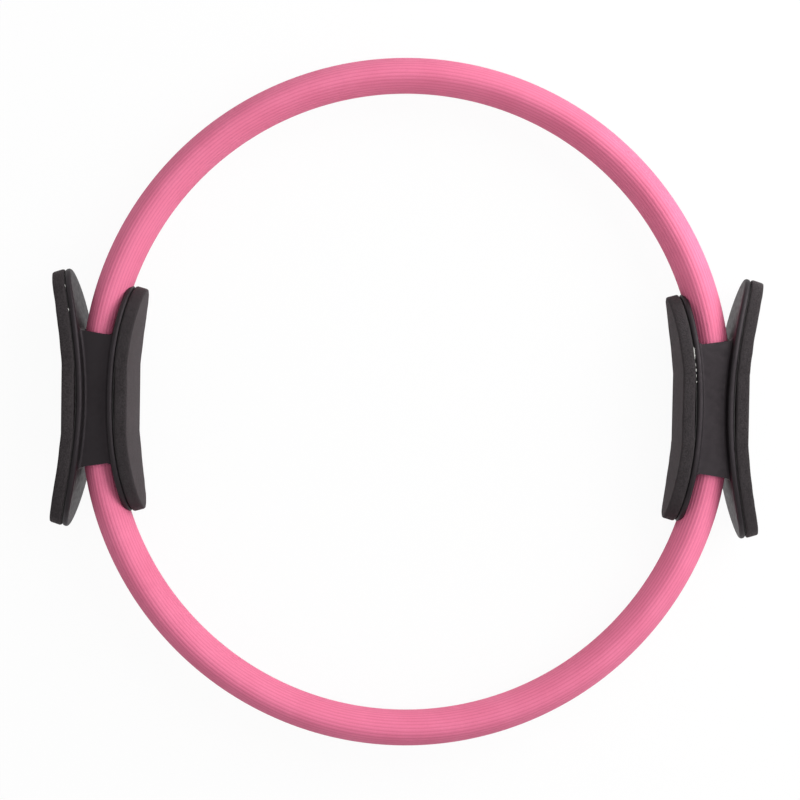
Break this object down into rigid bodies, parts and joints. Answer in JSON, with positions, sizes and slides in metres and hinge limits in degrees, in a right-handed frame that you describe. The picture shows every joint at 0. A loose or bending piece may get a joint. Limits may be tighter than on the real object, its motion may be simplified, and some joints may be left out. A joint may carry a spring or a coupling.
{
  "type": "pilates ring",
  "caption": "Round flexible exercise ring: foam-covered spring steel half hoops joined by padded spool-shaped handles that are squeezed together from outside or pushed apart from inside.",
  "frame": {"origin": "on the surface that the ring lies on, under the middle of the ring", "axes": "+Z along the ring's axis, upwards; +X from the left handle to the right one; +Y from the lower half hoop to the upper one"},
  "size_m": [0.3808, 0.3688, 0.046],
  "materials": {
    "sleeve_foam": "ribbed closed-cell foam, pink",
    "pad_foam": "fine matt EVA foam, black",
    "shell_plastic": "satin moulded plastic, black",
    "adhesive_sheet": "dark double-sided foam tape with beads of white glue",
    "spring_steel": "blued spring steel strip",
    "fastener_steel": "zinc-plated steel"
  },
  "bodies": {
    "right_handle": {"upper_spring_band": "spring_steel", "lower_spring_band": "spring_steel", "upper_foam_sleeve": "sleeve_foam", "lower_foam_sleeve": "sleeve_foam", "right_outer_shell": "shell_plastic", "right_inner_shell": "shell_plastic", "right_outer_pad": "pad_foam", "right_inner_pad": "pad_foam", "right_outer_tape": "adhesive_sheet", "right_inner_tape": "adhesive_sheet", "right_clamp_screws": "fastener_steel", "right_clamp_nuts": "fastener_steel"},
    "left_handle": {"left_outer_shell": "shell_plastic", "left_inner_shell": "shell_plastic", "left_outer_pad": "pad_foam", "left_inner_pad": "pad_foam", "left_outer_tape": "adhesive_sheet", "left_inner_tape": "adhesive_sheet", "left_clamp_screws": "fastener_steel", "left_clamp_nuts": "fastener_steel"}
  },
  "joints": [
    {"name": "squeeze", "type": "slide", "parent": "right_handle", "child": "left_handle", "axis": [1, 0, 0], "range_m": [-0.02, 0.07], "stiffness_N_per_m": 1150, "deforming": ["upper_spring_band", "lower_spring_band", "upper_foam_sleeve", "lower_foam_sleeve"]}
  ]
}
